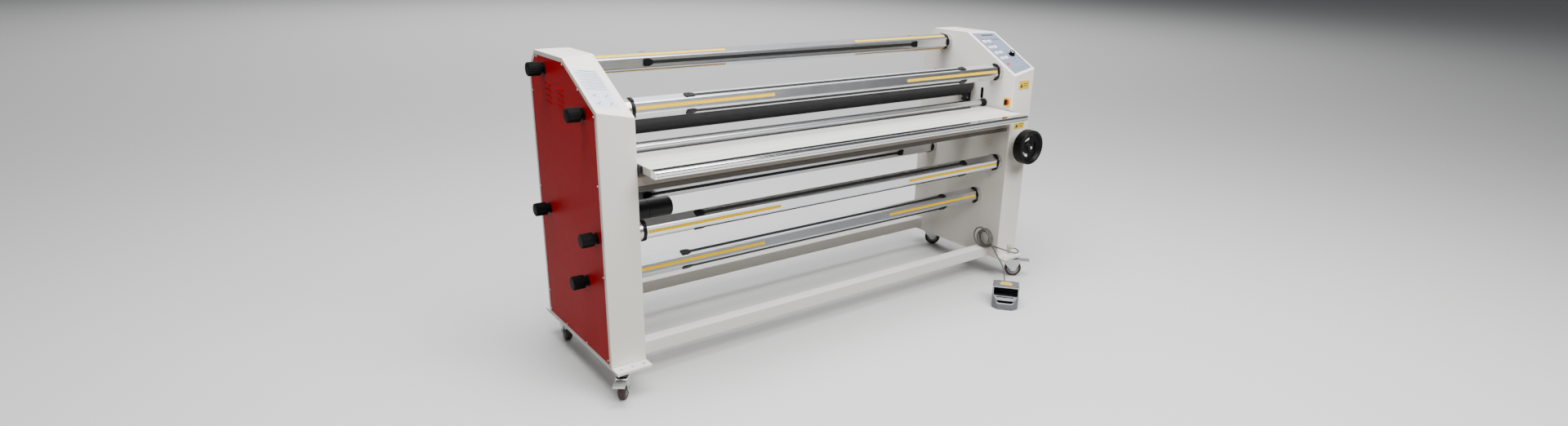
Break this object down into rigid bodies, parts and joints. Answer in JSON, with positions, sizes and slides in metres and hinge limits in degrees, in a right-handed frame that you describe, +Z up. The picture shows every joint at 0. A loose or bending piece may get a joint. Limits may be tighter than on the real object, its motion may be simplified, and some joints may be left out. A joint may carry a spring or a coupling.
{
  "type": "cold roll laminator",
  "caption": "Free-standing cold roll laminator with two side cabinets on casters, rubber pressing rollers, film and media shafts, a feed table, control panel and foot switch.",
  "frame": {"origin": "on the floor, under the middle of the whole machine with its foot switch", "axes": "+X to the operator's right along the rollers, +Y from the operator to the back, +Z up"},
  "size_m": [2.0973, 0.8982, 1.082],
  "materials": {
    "white_paint": "satin powder coat",
    "red_paint": "satin powder coat",
    "aluminium": "anodised satin",
    "black_plastic": "matte",
    "black_paint": "satin",
    "roller_steel": "ground",
    "roller_rubber": "matte, ground",
    "zinc_plate": "bright zinc",
    "tyre_rubber": "matte",
    "cable_sheath": "matte",
    "overlay_film": "fine texture",
    "yellow_plastic": "gloss",
    "beige_plastic": "semi-gloss",
    "cast_grey": "semi-gloss"
  },
  "bodies": {
    "frame": {"left_side_frame": "white_paint", "right_side_frame": "white_paint", "left_cover": "red_paint", "right_cover": "red_paint", "left_base_plate": "white_paint", "right_base_plate": "white_paint", "front_crossbeam": "white_paint", "rear_crossbeam": "white_paint", "table_beam": "white_paint", "left_idler_cap": "black_plastic", "right_idler_cap": "black_plastic", "left_table_hinge": "black_plastic", "right_table_hinge": "black_plastic", "drive_motor": "black_paint", "control_overlay": "overlay_film", "power_switch_plate": "yellow_plastic", "foot_switch_housing": "cast_grey", "foot_switch_plug": "beige_plastic", "cable_to_coil": "cable_sheath", "cable_coil": "cable_sheath", "cable_to_foot_switch": "cable_sheath", "front_left_caster_mount": "zinc_plate", "front_right_caster_mount": "zinc_plate", "rear_left_caster_mount": "zinc_plate", "rear_right_caster_mount": "zinc_plate"},
    "upper_film_shaft": {"upper_film_shaft": "aluminium"},
    "front_film_shaft": {"front_film_shaft": "aluminium"},
    "rear_media_shaft": {"rear_media_shaft": "aluminium"},
    "front_liner_shaft": {"front_liner_shaft": "aluminium"},
    "lower_media_shaft": {"lower_media_shaft": "aluminium"},
    "upper_film_tension_knob": {"upper_film_tension_knob": "black_plastic"},
    "front_film_tension_knob": {"front_film_tension_knob": "black_plastic"},
    "rear_media_tension_knob": {"rear_media_tension_knob": "black_plastic"},
    "front_liner_tension_knob": {"front_liner_tension_knob": "black_plastic"},
    "lower_media_tension_knob": {"lower_media_tension_knob": "black_plastic"},
    "roller_carriage": {"left_bearing_block": "black_paint", "right_bearing_block": "black_paint"},
    "upper_roller": {"upper_roller_core": "roller_steel", "upper_roller_rubber": "roller_rubber"},
    "lower_roller": {"lower_roller_core": "roller_steel", "lower_roller_rubber": "roller_rubber"},
    "idler_bar": {"idler_bar": "aluminium"},
    "feed_table": {"feed_table_tray": "white_paint", "feed_table_nose": "aluminium"},
    "handwheel": {"handwheel": "black_plastic"},
    "speed_knob": {"speed_knob": "black_plastic"},
    "power_switch_handle": {"power_switch_handle": "black_plastic"},
    "foot_switch_pedal": {"foot_switch_pedal": "cast_grey"},
    "front_left_caster_fork": {"front_left_caster_fork": "zinc_plate"},
    "front_left_caster_wheel": {"front_left_caster_wheel": "tyre_rubber"},
    "front_left_caster_brake": {"front_left_caster_brake": "zinc_plate"},
    "front_right_caster_fork": {"front_right_caster_fork": "zinc_plate"},
    "front_right_caster_wheel": {"front_right_caster_wheel": "tyre_rubber"},
    "front_right_caster_brake": {"front_right_caster_brake": "zinc_plate"},
    "rear_left_caster_fork": {"rear_left_caster_fork": "zinc_plate"},
    "rear_left_caster_wheel": {"rear_left_caster_wheel": "tyre_rubber"},
    "rear_left_caster_brake": {"rear_left_caster_brake": "zinc_plate"},
    "rear_right_caster_fork": {"rear_right_caster_fork": "zinc_plate"},
    "rear_right_caster_wheel": {"rear_right_caster_wheel": "tyre_rubber"},
    "rear_right_caster_brake": {"rear_right_caster_brake": "zinc_plate"}
  },
  "joints": [
    {"name": "upper_film_shaft_spin", "type": "hinge", "parent": "frame", "child": "upper_film_shaft", "pos_m": [0.006, 0.269, 1.029], "axis": [1, 0, 0], "continuous": true},
    {"name": "front_film_shaft_spin", "type": "hinge", "parent": "frame", "child": "front_film_shaft", "pos_m": [0.006, -0.043, 0.931], "axis": [1, 0, 0], "continuous": true},
    {"name": "rear_media_shaft_spin", "type": "hinge", "parent": "frame", "child": "rear_media_shaft", "pos_m": [0.006, 0.316, 0.538], "axis": [1, 0, 0], "continuous": true},
    {"name": "front_liner_shaft_spin", "type": "hinge", "parent": "frame", "child": "front_liner_shaft", "pos_m": [0.006, -0.087, 0.543], "axis": [1, 0, 0], "continuous": true},
    {"name": "lower_media_shaft_spin", "type": "hinge", "parent": "frame", "child": "lower_media_shaft", "pos_m": [0.006, 0.013, 0.366], "axis": [1, 0, 0], "continuous": true},
    {"name": "upper_film_tension_knob_turn", "type": "hinge", "parent": "frame", "child": "upper_film_tension_knob", "pos_m": [-0.994, 0.269, 1.029], "axis": [1, 0, 0], "range_deg": [-720, 720]},
    {"name": "front_film_tension_knob_turn", "type": "hinge", "parent": "frame", "child": "front_film_tension_knob", "pos_m": [-0.994, -0.043, 0.931], "axis": [1, 0, 0], "range_deg": [-720, 720]},
    {"name": "rear_media_tension_knob_turn", "type": "hinge", "parent": "frame", "child": "rear_media_tension_knob", "pos_m": [-0.994, 0.316, 0.538], "axis": [1, 0, 0], "range_deg": [-720, 720]},
    {"name": "front_liner_tension_knob_turn", "type": "hinge", "parent": "frame", "child": "front_liner_tension_knob", "pos_m": [-0.994, -0.087, 0.543], "axis": [1, 0, 0], "range_deg": [-720, 720]},
    {"name": "lower_media_tension_knob_turn", "type": "hinge", "parent": "frame", "child": "lower_media_tension_knob", "pos_m": [-0.994, 0.013, 0.366], "axis": [1, 0, 0], "range_deg": [-720, 720]},
    {"name": "roller_lift", "type": "slide", "parent": "frame", "child": "roller_carriage", "axis": [0, 0, 1], "range_m": [-0.0315, 0]},
    {"name": "upper_roller_spin", "type": "hinge", "parent": "roller_carriage", "child": "upper_roller", "pos_m": [0.006, 0.122, 0.866], "axis": [1, 0, 0], "continuous": true},
    {"name": "lower_roller_spin", "type": "hinge", "parent": "frame", "child": "lower_roller", "pos_m": [0.006, 0.122, 0.724], "axis": [1, 0, 0], "continuous": true},
    {"name": "idler_spin", "type": "hinge", "parent": "frame", "child": "idler_bar", "pos_m": [0.006, 0.017, 0.79], "axis": [1, 0, 0], "continuous": true},
    {"name": "feed_table_swing", "type": "hinge", "parent": "frame", "child": "feed_table", "pos_m": [0.006, -0.14, 0.76], "axis": [1, 0, 0], "range_deg": [0, 30]},
    {"name": "handwheel_turn", "type": "hinge", "parent": "frame", "child": "handwheel", "pos_m": [0.944, -0.195, 0.622], "axis": [0, 1, 0], "range_deg": [-1140, 0]},
    {"name": "speed_knob_turn", "type": "hinge", "parent": "frame", "child": "speed_knob", "pos_m": [0.96847, -0.03829, 0.99964], "axis": [-0.1823, -0.4708, 0.8632], "range_deg": [-270, 0]},
    {"name": "power_switch_turn", "type": "hinge", "parent": "frame", "child": "power_switch_handle", "pos_m": [0.882, -0.112, 0.81], "axis": [1, 0, 0], "range_deg": [0, 90]},
    {"name": "foot_pedal_press", "type": "hinge", "parent": "frame", "child": "foot_switch_pedal", "pos_m": [0.71785, -0.34092, 0.026], "axis": [0.6494, -0.7604, 0], "range_deg": [0, 8], "stiffness_Nm_per_rad": 6, "springref_deg": -11.46},
    {"name": "front_left_caster_swivel", "type": "hinge", "parent": "frame", "child": "front_left_caster_fork", "pos_m": [-0.949, -0.138, 0.09], "axis": [0, 0, 1], "continuous": true},
    {"name": "front_left_caster_roll", "type": "hinge", "parent": "front_left_caster_fork", "child": "front_left_caster_wheel", "pos_m": [-0.96663, -0.16227, 0.0375], "axis": [0.809, -0.5878, 0], "continuous": true},
    {"name": "front_left_caster_brake_press", "type": "hinge", "parent": "front_left_caster_fork", "child": "front_left_caster_brake", "pos_m": [-0.97956, -0.18007, 0.076], "axis": [0.809, -0.5878, 0], "range_deg": [0, 10]},
    {"name": "front_right_caster_swivel", "type": "hinge", "parent": "frame", "child": "front_right_caster_fork", "pos_m": [0.961, -0.138, 0.09], "axis": [0, 0, 1], "continuous": true},
    {"name": "front_right_caster_roll", "type": "hinge", "parent": "front_right_caster_fork", "child": "front_right_caster_wheel", "pos_m": [0.98221, -0.15921, 0.0375], "axis": [0.7071, 0.7071, 0], "continuous": true},
    {"name": "front_right_caster_brake_press", "type": "hinge", "parent": "front_right_caster_fork", "child": "front_right_caster_brake", "pos_m": [0.99777, -0.17477, 0.076], "axis": [0.7071, 0.7071, 0], "range_deg": [0, 10]},
    {"name": "rear_left_caster_swivel", "type": "hinge", "parent": "frame", "child": "rear_left_caster_fork", "pos_m": [-0.949, 0.386, 0.09], "axis": [0, 0, 1], "continuous": true},
    {"name": "rear_left_caster_roll", "type": "hinge", "parent": "rear_left_caster_fork", "child": "rear_left_caster_wheel", "pos_m": [-0.95421, 0.35646, 0.0375], "axis": [0.9848, -0.1736, 0], "continuous": true},
    {"name": "rear_left_caster_brake_press", "type": "hinge", "parent": "rear_left_caster_fork", "child": "rear_left_caster_brake", "pos_m": [-0.95803, 0.33479, 0.076], "axis": [0.9848, -0.1736, 0], "range_deg": [0, 10]},
    {"name": "rear_right_caster_swivel", "type": "hinge", "parent": "frame", "child": "rear_right_caster_fork", "pos_m": [0.961, 0.386, 0.09], "axis": [0, 0, 1], "continuous": true},
    {"name": "rear_right_caster_roll", "type": "hinge", "parent": "rear_right_caster_fork", "child": "rear_right_caster_wheel", "pos_m": [0.98184, 0.36442, 0.0375], "axis": [0.7193, 0.6947, 0], "continuous": true},
    {"name": "rear_right_caster_brake_press", "type": "hinge", "parent": "rear_right_caster_fork", "child": "rear_right_caster_brake", "pos_m": [0.99712, 0.34859, 0.076], "axis": [0.7193, 0.6947, 0], "range_deg": [0, 10]}
  ],
  "couplings": [
    {"joint": "handwheel_turn", "follows": "roller_lift", "rad_per_m": 628.32}
  ]
}
